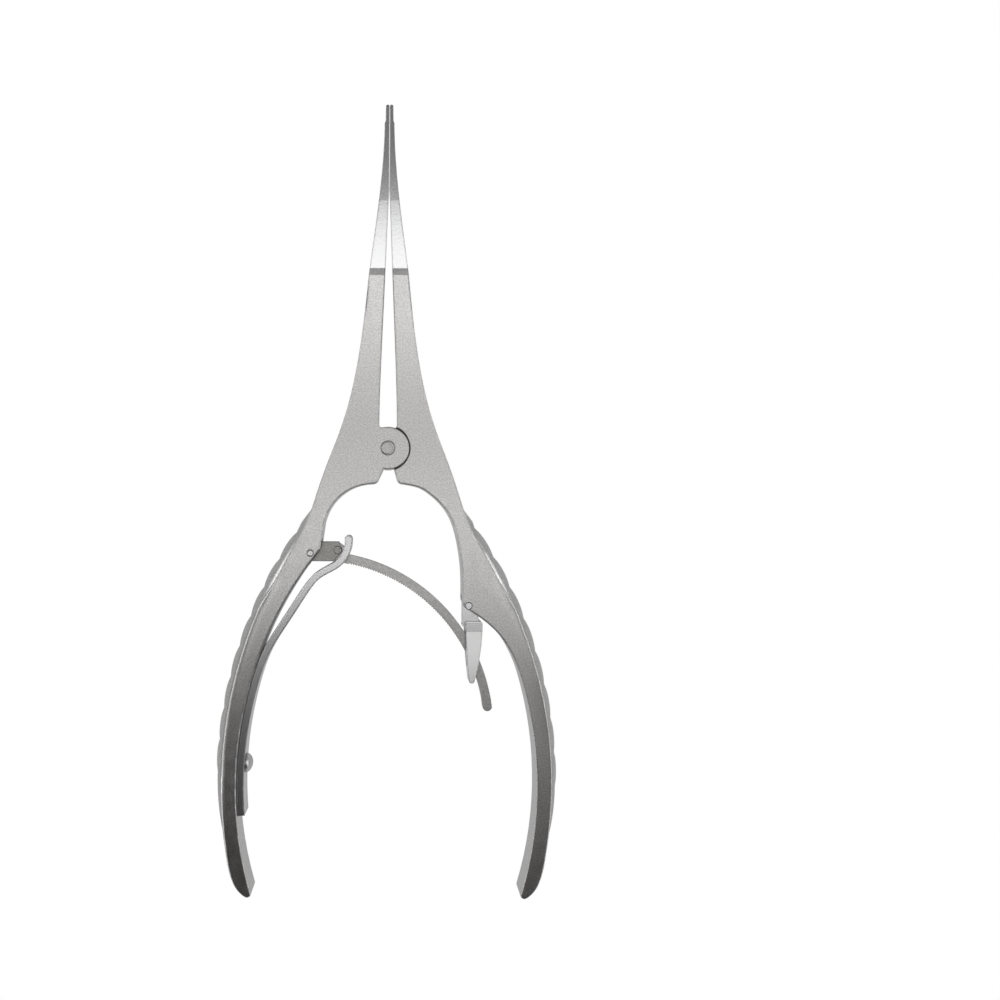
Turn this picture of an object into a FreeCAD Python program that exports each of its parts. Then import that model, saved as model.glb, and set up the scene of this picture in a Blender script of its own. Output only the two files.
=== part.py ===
import FreeCAD, Part
import math
import os
import Sketcher

# Bone spreader, 230 mm long, lying on its back. Origin on the main pivot axis in the
# rear plane: +X to the viewer's right, +Y towards the jaw tips, +Z up from the rest plane.
# Millimetres. Plan points are written for the left arm's mirror half as (distance from the
# centre line, Y), and side = -1 or +1 turns them into the left or the right arm.

doc = FreeCAD.newDocument("bone_spreader")
sheet = doc.addObject("Spreadsheet::Sheet", "sizes")
sheet_rows = []


def cell(alias, value):
    """Keep one driving size in the sheet and hand its value back."""
    sheet_rows.append(alias)
    row = str(len(sheet_rows))
    sheet.set("A" + row, alias)
    sheet.set("B" + row, str(value))
    sheet.setAlias("B" + row, alias)
    return value


# Arms: depth and the lap joint.
arm_depth = cell("arm_depth", 10.0)
edge_round = cell("edge_round", 0.35)
knuckle_radius = cell("knuckle_radius", 6.2)
knuckle_gap = cell("knuckle_gap", 0.3)
lap_gap = cell("lap_gap", 0.1)
recess_radius = cell("recess_radius", knuckle_radius + knuckle_gap)
lap_depth = cell("lap_depth", (arm_depth + lap_gap) / 2)
pivot_pin_radius = cell("pivot_pin_radius", 1.97)
pin_clearance = cell("pin_clearance", 0.04)
pivot_bore_radius = cell("pivot_bore_radius", pivot_pin_radius + pin_clearance)

# Jaws: tip, beak and the polished taper down to the shoulder.
tip_y = 100.0
tip_width = 1.08
beak_width = 1.16
beak_length = 4.9
shank_width = 1.44
shank_drop = 0.6
jaw_touch_gap = 0.05
touch_start_y = 77.0
jaw_high_x = 1.9
jaw_high_y = 83.5
jaw_low_x = 3.2
jaw_low_y = 70.4
shoulder_x = 5.65
shoulder_y = 51.2
shoulder_run = 1.9
shoulder_fit = 0.4
jaw_relief = cell("jaw_relief", 1.5)
beak_relief = cell("beak_relief", 2.0)
jaw_taper_y = 72.0
slot_half_width = 2.6
slot_foot_radius = 0.8
slot_low_x = 2.15
slot_low_y = 25.5
slot_high_x = 1.3
slot_high_y = 46.0

# Flank: the outside from the shoulder to the handle's arc.
flank_high_x = 8.8
flank_high_y = 25.5
flank_hip_x = 12.9
flank_hip_y = 8.1
flank_wide_x = 19.3
flank_wide_y = -9.3
flank_low_x = 23.3
flank_low_y = -20.9
flank_neck_x = 29.2
flank_neck_y = -32.5
flank_foot_x = 34.4
flank_foot_y = -41.6

# Handles: the outer and inner edges are arcs of two circles.
outer_reach = 48.0
outer_centre_y = -97.0
outer_radius = cell("outer_radius", 126.0)
outer_centre_x = outer_radius - outer_reach
grip_thickness = 4.5
inner_reach = outer_reach - grip_thickness
inner_centre_y = -98.0
inner_radius = cell("inner_radius", 109.7)
inner_centre_x = inner_radius - inner_reach
straight_within = 0.002
nearly_parallel = 1e-7
least_cut = 1e-4
outer_arc_start = 23.5
outer_arc_end = -8.5
handle_end_y = -130.2
end_cap_y = -129.0
end_high_x = outer_reach - 2.9
end_high_y = -123.6
end_side_x = outer_reach - 4.9
end_side_y = -127.9
end_turn_x = outer_reach - 6.8
end_turn_y = -129.75
end_foot_x = outer_reach - 8.05
shoulder_pull_x = 1.9
shoulder_pull_y = -20.0
arc_pull = 10.0
end_pull = 5.0
cap_pull = 3.0

# Crotch below the knuckle, where the two arms face each other.
crotch_x = 4.4
crotch_y = -10.4
crotch_round_x = 3.45
crotch_round_y = -10.15
crotch_corner_x = 2.8
crotch_corner_y = -9.5
left_neck_x = 1.2
right_neck_x = 1.8

# Left arch, between the knuckle and the kink above the ratchet head.
kink_y = -29.4
left_arch_low_x = 18.6
left_arch_low_y = -23.8
left_arch_mid_x = 14.3
left_arch_mid_y = -14.6
inner_mid_y = -85.0

# Right arch and the cheek round the release lever.
cheek_end_y = -66.0
right_mid_y = -95.0
cheek_inset = 0.45
cheek_low_y = -59.3
cheek_mid_x = 32.6
cheek_mid_y = -54.0
cheek_high_x = 28.0
cheek_high_y = -49.7
cheek_turn_x = 24.4
cheek_turn_y = -47.2
cheek_lip_x = 22.1
cheek_lip_y = -45.2
cheek_top_x = 21.8
cheek_top_y = -42.8
arch_foot_x = 21.5
arch_foot_y = -34.0
arch_low_x = 20.4
arch_low_y = -27.0
arch_mid_x = 16.9
arch_mid_y = -18.0
arch_high_x = 11.0
arch_high_y = -12.4
cheek_pull = 6.0
arch_pull_x = -6.0
arch_pull_y = 0.9

# Crowned, waved grip.
crown_height = cell("crown_height", 1.85)
crown_inset = 1.2
crown_top_margin = 1.0
crown_low_angle = cell("crown_low_angle", 7.4)
crown_merge_angle = -7.0
crown_trim_angle = -7.9
wave_crest = 1.75
wave_depth = 0.65
wave_fade = 0.8
left_wave_pitch = 4.18
left_wave_first = 34.75
right_wave_pitch = 4.51
right_wave_first = 35.6
waves_each = 9
wave_start_x = 21.9
wave_start_y = -14.0
crown_top_rise = (wave_start_y - outer_centre_y) / outer_radius
crown_top_angle = cell("crown_top_angle", math.degrees(math.asin(crown_top_rise)) - crown_top_margin)
wave_rise_x = 24.6
wave_rise_y = -20.3
waste_reach = 90.0

# Ratchet head on the left arm.
head_pin_inset = 2.03
head_pin_y = -30.5
head_pin_radius = cell("head_pin_radius", 0.87)
head_bore_radius = cell("head_bore_radius", head_pin_radius + pin_clearance)
side_play = 0.1
slot_width = cell("slot_width", 5.0)
slot_floor = cell("slot_floor", (arm_depth - slot_width) / 2)
block_depth = cell("block_depth", slot_width - 2 * side_play)
block_floor = cell("block_floor", slot_floor + side_play)
head_back_radius = 3.2
head_slot_play = 0.3
head_low = 2.45
swing_up = 9.0
swing_down = 34.0
head_mouth = 8.5
fork_from_pin = 3.7
fork_past_pin = 14.3
fork_above = 10.5
fork_below = 9.5
rivet_from_pin = 7.8
rivet_above_pin = 0.75
rivet_radius = cell("rivet_radius", 1.1)
rivet_clearance = 0.02
rivet_bore_radius = cell("rivet_bore_radius", rivet_radius + rivet_clearance)
rivet_stand = 0.12
rivet_length = cell("rivet_length", block_depth + 2 * rivet_stand)
rivet_floor = cell("rivet_floor", block_floor - rivet_stand)
nose_foot = 1.7
nose_low_back = 1.0
nose_low_drop = 2.85
nose_side = 0.55
nose_side_drop = 1.05
nose_reach = 1.2
nose_reach_rise = 0.45
nose_top = 0.25

# Ratchet bar: a toothed arc from the rivet's eye through the release lever.
bar_root_x = -15.94
bar_root_y = -31.73
bar_pass_x = 25.81
bar_pass_y = -62.18
bar_radius = 50.75
bar_width = 2.7
bar_depth = cell("bar_depth", 2.5)
bar_floor = cell("bar_floor", (arm_depth - bar_depth) / 2)
bar_play = 0.1
bar_slot_floor = cell("bar_slot_floor", bar_floor - bar_play)
bar_slot_width = cell("bar_slot_width", bar_depth + 2 * bar_play)
bar_tail = 13.65
bar_eye_radius = 2.1
tooth_depth = 0.34
tooth_step = 0.75
tooth_margin = 2.3
tooth_over = 0.05
tooth_flank = 0.47
tooth_lean = 0.25
tooth_count = cell("tooth_count", 79)

# Leaf spring and its screw.
leaf_thickness = 2.1
leaf_width = cell("leaf_width", 8.0)
leaf_floor = cell("leaf_floor", (arm_depth - leaf_width) / 2)
leaf_gap = 0.06
leaf_end_y = -106.8
leaf_seat_y = -71.0
leaf_seat_points = 5
leaf_lift_y = -58.1
leaf_lift = 1.55
leaf_part_y = -51.1
leaf_part = 2.82
leaf_clear_y = -44.1
leaf_clear = 3.69
leaf_waist_y = -39.1
leaf_waist = 4.13
leaf_stations = 24
hook_cap = 0.35
fork_width = cell("fork_width", 3.3)
fork_floor = cell("fork_floor", (arm_depth - fork_width) / 2)
fork_start = 2.9
screw_y = -92.2
screw_head_radius = cell("screw_head_radius", 2.75)
screw_head_height = cell("screw_head_height", 2.0)
screw_shank_radius = cell("screw_shank_radius", 1.5)
screw_hole_play = 0.05
screw_depth = 4.2
screw_end_play = 0.2
screw_hole_length = cell("screw_hole_length", 12.0)
screw_tip_bevel = 0.3
screw_rim = 0.6
screw_dome_out = 0.62
screw_dome_up = 0.7
screw_slot_width = 0.7
screw_slot_depth = 0.8
screw_slot_floor = cell("screw_slot_floor", screw_head_height - screw_slot_depth)
head_seat_gap = 0.03

# Release lever on the right arm.
lever_pin_x = 23.6
lever_pin_y = -45.6
lever_pin_radius = cell("lever_pin_radius", 0.95)
lever_bore_radius = cell("lever_bore_radius", lever_pin_radius + pin_clearance)
pad_recess = 0.2
pad_floor = cell("pad_floor", pad_recess)
pad_depth = cell("pad_depth", arm_depth - 2 * pad_recess)
pad_top_y = -50.15
pad_left_x = 22.75
pad_right_x = 27.7
pad_corner = 0.45
pad_waist_y = -58.9
pad_waist_right = 27.1
pad_waist_left = 23.1
pad_taper_y = -53.0
pad_back_taper_y = -56.0
pad_front_drop = 0.8
pad_back_rise = 3.4
pad_tip_x = 24.65
pad_tip_y = -67.15
pad_tip_radius = 0.9
tongue_left_x = 21.95
tongue_right_x = 26.6
tongue_top_y = -42.9
tongue_overlap = 1.5
tongue_corner = 0.6
window_play = 0.3
window_floor = cell("window_floor", bar_floor - window_play)
window_width = cell("window_width", bar_depth + 2 * window_play)
window_over = 0.65
window_mid_over = 1.4
window_wide_over = 3.6
window_under = 2.4
window_near = 1.1
window_high_angle = 42.0
window_mid_angle = 30.0
window_wide_angle = 18.0
window_low_angle = 8.0
pawl_gap = 0.7
pawl_angle = 21.5
pawl_flank_angle = 25.0
pawl_back_angle = 21.2
lever_slot_right = 28.7
lever_slot_top = -38.2
lever_mouth_y = -42.6
lever_slot_open_x = 20.0
lever_slot_left = 24.4
lever_slot_bottom = -56.0
hairpin_thickness = 0.45
hairpin_depth = cell("hairpin_depth", 4.0)
hairpin_floor = cell("hairpin_floor", (arm_depth - hairpin_depth) / 2)
hairpin_gap = 0.2
hairpin_wall_gap = 0.04
hairpin_long_y = -48.2
hairpin_short_y = -44.2

# Pins and cutting allowances.
pin_recess = cell("pin_recess", 0.1)
pin_length = cell("pin_length", arm_depth - 2 * pin_recess)
pin_top = cell("pin_top", arm_depth - pin_recess)
pivot_disc_radius = 1.6
pivot_disc_shift = 0.3
pivot_disc_rise = cell("pivot_disc_rise", 0.08)
cut_over = cell("cut_over", 1.0)
full_turn = cell("full_turn", 360.0)

doc.recompute()


def vec(x, y):
    return FreeCAD.Vector(x, y, 0)


def line(a, b):
    return Part.LineSegment(vec(*a), vec(*b))


def arc(a, mid, b):
    return Part.Arc(vec(*a), vec(*mid), vec(*b))


def spline(points, start=None, finish=None):
    """A curve through the points, with its end directions given where it has to run on smoothly."""
    curve = Part.BSplineCurve()
    spots = [vec(*p) for p in points]
    if start or finish:
        first = vec(*start) if start else spots[1] - spots[0]
        last = vec(*finish) if finish else spots[-1] - spots[-2]
        curve.interpolate(Points=spots, InitialTangent=first, FinalTangent=last)
    else:
        curve.interpolate(spots)
    return curve


def bend(a, heading, b):
    """The arc that leaves a along the heading and ends at b, or a line where it is straight."""
    side_way = FreeCAD.Vector(-heading.y, heading.x, 0)
    chord = b - a
    off = side_way.dot(chord)
    if abs(off) < straight_within:
        return Part.LineSegment(a, b)
    centre = a + side_way * (chord.Length ** 2 / (2 * off))
    outward = (a - centre) + (b - centre)
    middle = centre + outward.normalize() * (a - centre).Length
    return Part.Arc(a, middle, b)


def smooth(points, start=None, finish=None):
    """A chain of tangent arcs through the points: two arcs between each pair."""
    curve = spline(points, start, finish)
    spots = [vec(*p) for p in points]
    headings = [curve.tangent(curve.parameter(p))[0].normalize() for p in spots]
    edges = []
    for a, b, here, there in zip(spots, spots[1:], headings, headings[1:]):
        chord = b - a
        both = here + there
        turn = 2 * (1 - here.dot(there))
        if turn < nearly_parallel:
            reach = chord.dot(chord) / (2 * chord.dot(both))
        else:
            root = math.sqrt(chord.dot(both) ** 2 + turn * chord.dot(chord))
            reach = (root - chord.dot(both)) / turn
        joint = (a + b + (here - there) * reach) / 2
        edges.append(bend(a, here, joint))
        edges.append(bend(b, there, joint))
    return edges


def circle(x, y, radius):
    return Part.Circle(vec(x, y), FreeCAD.Vector(0, 0, 1), radius)


def polygon(points):
    return [line(a, b) for a, b in zip(points, points[1:] + points[:1])]


def polar(cx, cy, radius, degrees):
    a = math.radians(degrees)
    return (cx + radius * math.cos(a), cy + radius * math.sin(a))


def new_body(name):
    body = doc.addObject("PartDesign::Body", name)
    body.Label = name
    return body


def base_plane(body, role):
    return [f for f in body.Origin.OriginFeatures if f.Role == role][0]


def sketch(body, name, geometry, height="", role="XY_Plane"):
    """A sketch on one of the body's own planes, lifted by a cell of the sheet."""
    made = body.newObject("Sketcher::SketchObject", name)
    made.AttachmentSupport = [(base_plane(body, role), "")]
    made.MapMode = "FlatFace"
    if height:
        made.setExpression("AttachmentOffset.Base.z", "sizes." + height)
    made.addGeometry(geometry, False)
    doc.recompute()
    return made


def pad(body, name, profile, length):
    made = body.newObject("PartDesign::Pad", name)
    made.Profile = profile
    made.setExpression("Length", "sizes." + length)
    profile.Visibility = False
    doc.recompute()
    return made


def cut_up(body, name, profile, length):
    """A pocket that runs from its sketch in the sketch's own direction."""
    before = body.Shape.Volume
    made = body.newObject("PartDesign::Pocket", name)
    made.Profile = profile
    made.Reversed = True
    made.setExpression("Length", "sizes." + length)
    doc.recompute()
    if body.Shape.Volume > before - least_cut:
        raise ValueError(name + " takes nothing away")
    return made


def rim_edges(shape, height):
    """Names of the edges of the arm's flat face at a height, from the shoulder down."""
    names = []
    for number, edge in enumerate(shape.Edges, 1):
        flat = all(abs(corner.Z - height) < straight_within for corner in edge.Vertexes)
        below_jaw = max(corner.Y for corner in edge.Vertexes) < shoulder_y
        if flat and below_jaw:
            names.append("Edge" + str(number))
    return names


through_depth = cell("through_depth", arm_depth + 2 * cut_over)
below_rest = cell("below_rest", -cut_over)
jaw_cut_width = cell("jaw_cut_width", 40.0)
jaw_cut_start = cell("jaw_cut_start", -jaw_cut_width / 2)
doc.recompute()


def outer_point(degrees, extra=0.0):
    """A point on the outer handle arc, measured from the centre line outwards."""
    a = math.radians(degrees)
    reach = outer_radius + extra
    return (reach * math.cos(a) - outer_centre_x, outer_centre_y + reach * math.sin(a))


def outer_heading(degrees, size):
    """The direction down the outer handle arc."""
    a = math.radians(degrees)
    return (size * math.sin(a), -size * math.cos(a))


def inner_x(y):
    """Where the inner handle arc is at a height y."""
    return math.sqrt(inner_radius ** 2 - (y - inner_centre_y) ** 2) - inner_centre_x


def inner_heading(y, size):
    """The direction up the inner handle arc."""
    rise = (y - inner_centre_y) / inner_radius
    return (-size * rise, size * math.sqrt(1 - rise ** 2))


def arm_outline(side, inner_edge):
    """Closed plan outline of one arm, from the jaw tip down the outside and back up the inside."""
    def at(p):
        return (side * p[0], p[1])

    beak_y = tip_y - beak_length
    tip_radius = (tip_width - jaw_touch_gap) / 2
    tip_in = (jaw_touch_gap, tip_y - tip_radius)
    tip_out = (tip_width, tip_y - tip_radius)
    shank = (shank_width, beak_y - shank_drop)
    shoulder = (shoulder_x, shoulder_y + shoulder_fit)
    start = outer_point(outer_arc_start)
    finish = outer_point(outer_arc_end)
    end_in = (inner_x(end_cap_y), end_cap_y)
    edges = [
        arc(at(tip_in), at((jaw_touch_gap + tip_radius, tip_y)), at(tip_out)),
        line(at(tip_out), at((beak_width, beak_y))),
        line(at((beak_width, beak_y)), at(shank)),
    ]
    edges += smooth([at(p) for p in (shank, (jaw_high_x, jaw_high_y), (jaw_low_x, jaw_low_y), shoulder)])
    flank = [
        shoulder,
        (flank_high_x, flank_high_y),
        (flank_hip_x, flank_hip_y),
        (flank_wide_x, flank_wide_y),
        (flank_low_x, flank_low_y),
        (flank_neck_x, flank_neck_y),
        (flank_foot_x, flank_foot_y),
        start,
    ]
    edges += smooth(
        [at(p) for p in flank],
        at((shoulder_pull_x, shoulder_pull_y)),
        at(outer_heading(outer_arc_start, arc_pull)),
    )
    edges.append(arc(at(start), at(outer_point((outer_arc_start + outer_arc_end) / 2)), at(finish)))
    end = [
        finish,
        (end_high_x, end_high_y),
        (end_side_x, end_side_y),
        (end_turn_x, end_turn_y),
        (end_foot_x, handle_end_y),
        end_in,
    ]
    edges += smooth(
        [at(p) for p in end],
        at(outer_heading(outer_arc_end, end_pull)),
        at(inner_heading(end_cap_y, cap_pull)),
    )
    edges += inner_edge(at, end_in)
    neck_x = left_neck_x if side < 0 else right_neck_x
    low = (neck_x, -math.sqrt(knuckle_radius ** 2 - neck_x ** 2))
    foot_x = slot_half_width - slot_foot_radius
    foot_reach = knuckle_radius + slot_foot_radius
    foot_y = math.sqrt(foot_reach ** 2 - foot_x ** 2)
    high = (foot_x * knuckle_radius / foot_reach, foot_y * knuckle_radius / foot_reach)
    foot_turn = math.degrees(math.atan2(-foot_y, -foot_x))
    foot_mid = polar(foot_x, foot_y, slot_foot_radius, foot_turn / 2)
    slot_foot = (slot_half_width, foot_y)
    corner = (crotch_corner_x, crotch_corner_y)
    edges += [
        arc(at((crotch_x, crotch_y)), at((crotch_round_x, crotch_round_y)), at(corner)),
        line(at(corner), at(low)),
        arc(at(low), at((-knuckle_radius, 0)), at(high)),
        arc(at(high), at(foot_mid), at(slot_foot)),
    ]
    touch = (jaw_touch_gap, touch_start_y)
    edges += smooth(
        [at(p) for p in (slot_foot, (slot_low_x, slot_low_y), (slot_high_x, slot_high_y), touch)],
        at((0.0, slot_low_y - foot_y)),
        at((jaw_touch_gap - slot_high_x, touch_start_y - slot_high_y)),
    )
    edges.append(line(at(touch), at(tip_in)))
    return edges


def left_inner(at, end_in):
    """Inner edge of the left handle: one long arc, a kink above the ratchet head, the arch."""
    kink = (inner_x(kink_y), kink_y)
    arch_low = (left_arch_low_x, left_arch_low_y)
    return [
        arc(at(end_in), at((inner_x(inner_mid_y), inner_mid_y)), at(kink)),
        line(at(kink), at(arch_low)),
        arc(at(arch_low), at((left_arch_mid_x, left_arch_mid_y)), at((crotch_x, crotch_y))),
    ]


def right_inner(at, end_in):
    """Inner edge of the right handle: the long arc, the cheek round the lever, the arch."""
    cheek_end = (inner_x(cheek_end_y), cheek_end_y)
    edges = [arc(at(end_in), at((inner_x(right_mid_y), right_mid_y)), at(cheek_end))]
    way = [
        cheek_end,
        (inner_x(cheek_low_y) - cheek_inset, cheek_low_y),
        (cheek_mid_x, cheek_mid_y),
        (cheek_high_x, cheek_high_y),
        (cheek_turn_x, cheek_turn_y),
        (cheek_lip_x, cheek_lip_y),
        (cheek_top_x, cheek_top_y),
        (arch_foot_x, arch_foot_y),
        (arch_low_x, arch_low_y),
        (arch_mid_x, arch_mid_y),
        (arch_high_x, arch_high_y),
        (crotch_x, crotch_y),
    ]
    edges += smooth(
        [at(p) for p in way],
        at(inner_heading(cheek_end_y, cheek_pull)),
        at((arch_pull_x, arch_pull_y)),
    )
    return edges


def crown_and_waves(body, name, side, first, pitch):
    """The crowned outer side as a turned band of D section, with the waves cut across it in plan."""
    band_x = side * (outer_radius - outer_centre_x)
    root_x = band_x - side * crown_inset
    low, high = edge_round, arm_depth - edge_round
    crown_x = band_x + side * crown_height
    profile = [
        Part.Arc(vec(root_x, low), vec(crown_x, arm_depth / 2), vec(root_x, high)),
        line((root_x, high), (root_x, low)),
    ]
    made = body.newObject("Sketcher::SketchObject", name + "_crown_section")
    made.AttachmentSupport = [(base_plane(body, "XZ_Plane"), "")]
    made.MapMode = "FlatFace"
    made.AttachmentOffset = FreeCAD.Placement(
        FreeCAD.Vector(0, 0, -outer_centre_y), FreeCAD.Rotation()
    )
    made.addGeometry(profile, False)
    axis_x = -side * outer_centre_x
    made.addGeometry([line((axis_x, 0), (axis_x, arm_depth))], True)
    doc.recompute()
    band = body.newObject("PartDesign::Revolution", name + "_crown")
    band.Profile = made
    band.ReferenceAxis = (made, ["Axis0"])
    band.Type = "TwoAngles"
    up, down = ("Angle", "Angle2") if side > 0 else ("Angle2", "Angle")
    band.setExpression(up, "sizes.crown_top_angle")
    band.setExpression(down, "sizes.crown_low_angle")
    doc.recompute()

    def at(p):
        return (side * p[0], p[1])

    angle = first
    notch = wave_crest - wave_depth
    top = (wave_start_x, wave_start_y)
    here = outer_point(angle, notch)
    edges = [arc(at(top), at((wave_rise_x, wave_rise_y)), at(here))]
    for number in range(1, waves_each):
        angle -= pitch
        there = outer_point(angle, notch)
        mid = outer_point(angle + pitch / 2, wave_crest)
        edges.append(arc(at(here), at(mid), at(there)))
        here = there
    merged = outer_point(crown_merge_angle)
    fading = outer_point((angle + crown_merge_angle) / 2, notch * wave_fade)
    trimmed = outer_point(crown_trim_angle)
    along = outer_point((crown_merge_angle + crown_trim_angle) / 2)
    edges.append(arc(at(here), at(fading), at(merged)))
    edges.append(arc(at(merged), at(along), at(trimmed)))
    far = [trimmed, (waste_reach, trimmed[1]), (waste_reach, wave_start_y), top]
    edges += [line(at(a), at(b)) for a, b in zip(far, far[1:])]
    outside = sketch(body, name + "_waves_plan", edges, "below_rest")
    cut_up(body, name + "_waves", outside, "through_depth")


def relieve_jaw(body, name):
    """Thin the jaw in depth above its shoulder, front and back, down to the beak."""
    front = [
        (shoulder_y - shoulder_run / 2, arm_depth),
        (shoulder_y + shoulder_run / 2, arm_depth - jaw_relief),
        (jaw_taper_y, arm_depth - jaw_relief),
        (tip_y + cut_over, arm_depth - beak_relief),
        (tip_y + cut_over, arm_depth + cut_over),
        (shoulder_y - shoulder_run / 2, arm_depth + cut_over),
    ]
    back = [(y, arm_depth - z) for y, z in front]
    for tag, shape in (("front", front), ("back", back)):
        drawn = sketch(body, name + "_jaw_" + tag + "_plan", polygon(shape), "jaw_cut_start", "YZ_Plane")
        cut_up(body, name + "_jaw_" + tag, drawn, "jaw_cut_width")


def make_arm(name, side, inner_edge, wave_first, wave_pitch):
    body = new_body(name)
    plan = sketch(body, name + "_plan", arm_outline(side, inner_edge))
    pad(body, name + "_plate", plan, "arm_depth")
    relieve_jaw(body, name)
    for tag, height in (("back", 0), ("front", arm_depth)):
        blank = body.Tip
        rims = rim_edges(blank.Shape, height)
        rounded = body.newObject("PartDesign::Fillet", name + "_rounds_" + tag)
        rounded.Base = (blank, rims)
        rounded.setExpression("Radius", "sizes.edge_round")
        doc.recompute()
    crown_and_waves(body, name, side, wave_first, wave_pitch)
    return body


def bore(body, name, x, y, radius_cell, radius):
    """A hole right through, square to the rest plane."""
    drawn = sketch(body, name + "_circle", [circle(x, y, radius)], "below_rest")
    ring = drawn.addConstraint(Sketcher.Constraint("Radius", 0, radius))
    drawn.setExpression("Constraints[" + str(ring) + "]", "sizes." + radius_cell)
    doc.recompute()
    return cut_up(body, name, drawn, "through_depth")


lap_cut = cell("lap_cut", lap_depth + cut_over)
right_lap_floor = cell("right_lap_floor", arm_depth - lap_depth)

head_pin_x = inner_x(head_pin_y) + head_pin_inset
rivet_x = rivet_from_pin - head_pin_x
rivet_y = head_pin_y + rivet_above_pin

# Left arm.
left_arm = make_arm("left_arm", -1, left_inner, left_wave_first, left_wave_pitch)
lap = sketch(left_arm, "left_arm_lap_circle", [circle(0, 0, recess_radius)], "below_rest")
cut_up(left_arm, "left_arm_lap", lap, "lap_cut")
bore(left_arm, "left_arm_pivot", 0, 0, "pivot_bore_radius", pivot_bore_radius)

head_slot_radius = head_back_radius + head_slot_play
slot_high = polar(-head_pin_x, head_pin_y, head_slot_radius, 90 + swing_up)
slot_back = (-head_pin_x - head_slot_radius, head_pin_y)
slot_low = polar(-head_pin_x, head_pin_y, head_slot_radius, -90 - swing_down)
slot_high_out = polar(slot_high[0], slot_high[1], head_mouth, swing_up)
slot_low_out = polar(slot_low[0], slot_low[1], head_mouth, -swing_down)
head_slot = sketch(
    left_arm,
    "left_arm_slot_plan",
    [
        arc(slot_high, slot_back, slot_low),
        line(slot_low, slot_low_out),
        line(slot_low_out, slot_high_out),
        line(slot_high_out, slot_high),
    ],
    "slot_floor",
)
cut_up(left_arm, "left_arm_slot", head_slot, "slot_width")
bore(left_arm, "left_arm_head_bore", -head_pin_x, head_pin_y, "head_bore_radius", head_bore_radius)

# The spring screw's line: square to the handle's inner face, at mid depth.
screw_turn = math.degrees(math.asin((screw_y - inner_centre_y) / inner_radius))
screw_heading = vec(math.cos(math.radians(screw_turn)), -math.sin(math.radians(screw_turn)))
screw_foot = FreeCAD.Vector(-inner_x(screw_y), screw_y, arm_depth / 2)
hole_start = screw_foot - screw_heading * (screw_depth + screw_end_play)
screw_hole = left_arm.newObject("Sketcher::SketchObject", "left_arm_screw_circle")
screw_hole.AttachmentSupport = [(base_plane(left_arm, "YZ_Plane"), "")]
screw_hole.MapMode = "FlatFace"
screw_hole.AttachmentOffset = FreeCAD.Placement(
    FreeCAD.Vector(hole_start.y, hole_start.z, hole_start.x),
    FreeCAD.Rotation(FreeCAD.Vector(0, 1, 0), -screw_turn) * FreeCAD.Rotation(),
)
screw_hole.addGeometry([circle(0, 0, screw_shank_radius + screw_hole_play)], False)
doc.recompute()
cut_up(left_arm, "left_arm_screw_hole", screw_hole, "screw_hole_length")

# Right arm.
right_arm = make_arm("right_arm", 1, right_inner, right_wave_first, right_wave_pitch)
lap = sketch(right_arm, "right_arm_lap_circle", [circle(0, 0, recess_radius)], "right_lap_floor")
cut_up(right_arm, "right_arm_lap", lap, "lap_cut")
bore(right_arm, "right_arm_pivot", 0, 0, "pivot_bore_radius", pivot_bore_radius)
lever_slot = sketch(
    right_arm,
    "right_arm_slot_plan",
    polygon([
        (lever_slot_open_x, lever_mouth_y),
        (lever_slot_left, lever_mouth_y),
        (lever_slot_left, lever_slot_top),
        (lever_slot_right, lever_slot_top),
        (lever_slot_right, lever_slot_bottom),
        (lever_slot_open_x, lever_slot_bottom),
    ]),
    "slot_floor",
)
cut_up(right_arm, "right_arm_slot", lever_slot, "slot_width")
bore(right_arm, "right_arm_lever_bore", lever_pin_x, lever_pin_y, "lever_bore_radius", lever_bore_radius)

# Pivot pin, with the riveted disc a little off its middle.
pivot_pin = new_body("pivot_pin")
shaft = sketch(pivot_pin, "pivot_pin_shaft_circle", [circle(0, 0, pivot_pin_radius)], "pin_recess")
pad(pivot_pin, "pivot_pin_shaft", shaft, "pin_length")
peened_circle = circle(-pivot_disc_shift, 0, pivot_disc_radius)
peened = sketch(pivot_pin, "pivot_pin_disc_circle", [peened_circle], "pin_top")
pad(pivot_pin, "pivot_pin_disc", peened, "pivot_disc_rise")


def plain_pin(name, x, y, radius_cell, length_cell, floor_cell):
    """A straight pin or rivet, square to the rest plane."""
    made = doc.addObject("Part::Cylinder", name)
    made.Label = name
    made.setExpression("Radius", "sizes." + radius_cell)
    made.setExpression("Height", "sizes." + length_cell)
    made.Placement = FreeCAD.Placement(FreeCAD.Vector(x, y, 0), FreeCAD.Rotation())
    made.setExpression("Placement.Base.z", "sizes." + floor_cell)
    return made


head_pin = plain_pin("head_pin", -head_pin_x, head_pin_y, "head_pin_radius", "pin_length", "pin_recess")
lever_pin = plain_pin("lever_pin", lever_pin_x, lever_pin_y, "lever_pin_radius", "pin_length", "pin_recess")
bar_rivet = plain_pin("bar_rivet", rivet_x, rivet_y, "rivet_radius", "rivet_length", "rivet_floor")

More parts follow.
